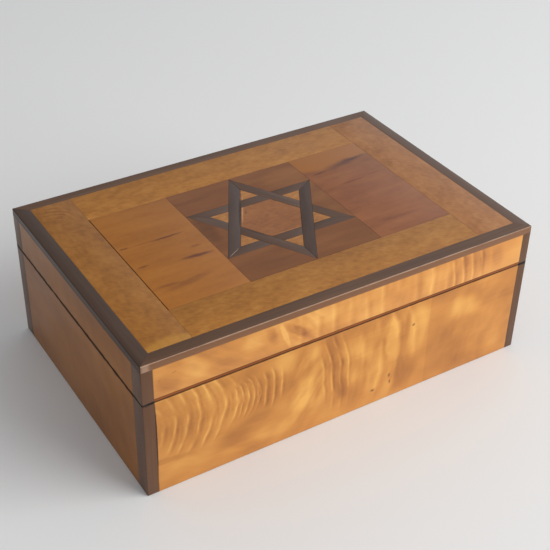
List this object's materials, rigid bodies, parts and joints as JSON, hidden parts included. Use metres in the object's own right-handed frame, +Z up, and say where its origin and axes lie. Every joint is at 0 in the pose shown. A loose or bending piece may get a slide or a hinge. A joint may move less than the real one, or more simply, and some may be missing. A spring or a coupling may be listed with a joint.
{
  "type": "inlaid wooden box",
  "caption": "Rectangular hinged wooden box with figured veneer sides, dark edging and a six-pointed star of half-lapped strips let into the lid.",
  "frame": {"origin": "under the middle of the box, on the surface it stands on", "axes": "+X along the front from left to right, +Y from the front to the hinged back, +Z up"},
  "size_m": [0.3, 0.2028, 0.105],
  "materials": {
    "carcass_wood": "satin",
    "honey_veneer": "polished",
    "border_veneer": "polished",
    "streaked_veneer": "polished",
    "pinkish_veneer": "polished",
    "brown_veneer": "polished",
    "centre_veneer": "polished",
    "point_veneer": "polished",
    "dark_edging": "polished",
    "red_strip": "satin",
    "hinge_brass": "satin"
  },
  "bodies": {
    "base": {"base_back_board": "carcass_wood", "base_back_left_corner": "dark_edging", "base_back_right_corner": "dark_edging", "base_back_veneer": "honey_veneer", "base_bottom_board": "carcass_wood", "base_front_board": "carcass_wood", "base_front_left_corner": "dark_edging", "base_front_right_corner": "dark_edging", "base_front_veneer": "honey_veneer", "base_left_board": "carcass_wood", "base_left_veneer": "honey_veneer", "base_right_board": "carcass_wood", "base_right_veneer": "honey_veneer", "hinge_left_base_leaf": "hinge_brass", "hinge_left_pin": "hinge_brass", "hinge_right_base_leaf": "hinge_brass", "hinge_right_pin": "hinge_brass"},
    "lid": {"hinge_left_lid_leaf": "hinge_brass", "hinge_right_lid_leaf": "hinge_brass", "lid_back_board": "carcass_wood", "lid_back_border": "border_veneer", "lid_back_edging": "dark_edging", "lid_back_left_corner": "dark_edging", "lid_back_right_corner": "dark_edging", "lid_back_veneer": "honey_veneer", "lid_front_board": "carcass_wood", "lid_front_border": "border_veneer", "lid_front_edging": "dark_edging", "lid_front_left_corner": "dark_edging", "lid_front_line": "red_strip", "lid_front_right_corner": "dark_edging", "lid_front_veneer": "honey_veneer", "lid_left_board": "carcass_wood", "lid_left_border": "border_veneer", "lid_left_edging": "dark_edging", "lid_left_field": "streaked_veneer", "lid_left_veneer": "honey_veneer", "lid_right_board": "carcass_wood", "lid_right_border": "border_veneer", "lid_right_edging": "dark_edging", "lid_right_field": "pinkish_veneer", "lid_right_veneer": "honey_veneer", "lid_top_board": "carcass_wood", "star_centre": "centre_veneer", "star_ground": "brown_veneer", "star_point_1": "point_veneer", "star_point_2": "point_veneer", "star_point_3": "point_veneer", "star_point_4": "point_veneer", "star_point_5": "point_veneer", "star_point_6": "point_veneer", "star_strip_1": "dark_edging", "star_strip_2": "dark_edging", "star_strip_3": "dark_edging", "star_strip_4": "dark_edging", "star_strip_5": "dark_edging", "star_strip_6": "dark_edging"}
  },
  "joints": [
    {"name": "lid_hinge", "type": "hinge", "parent": "base", "child": "lid", "pos_m": [0, 0.10075, 0.075], "axis": [-1, 0, 0], "range_deg": [0, 100]}
  ]
}
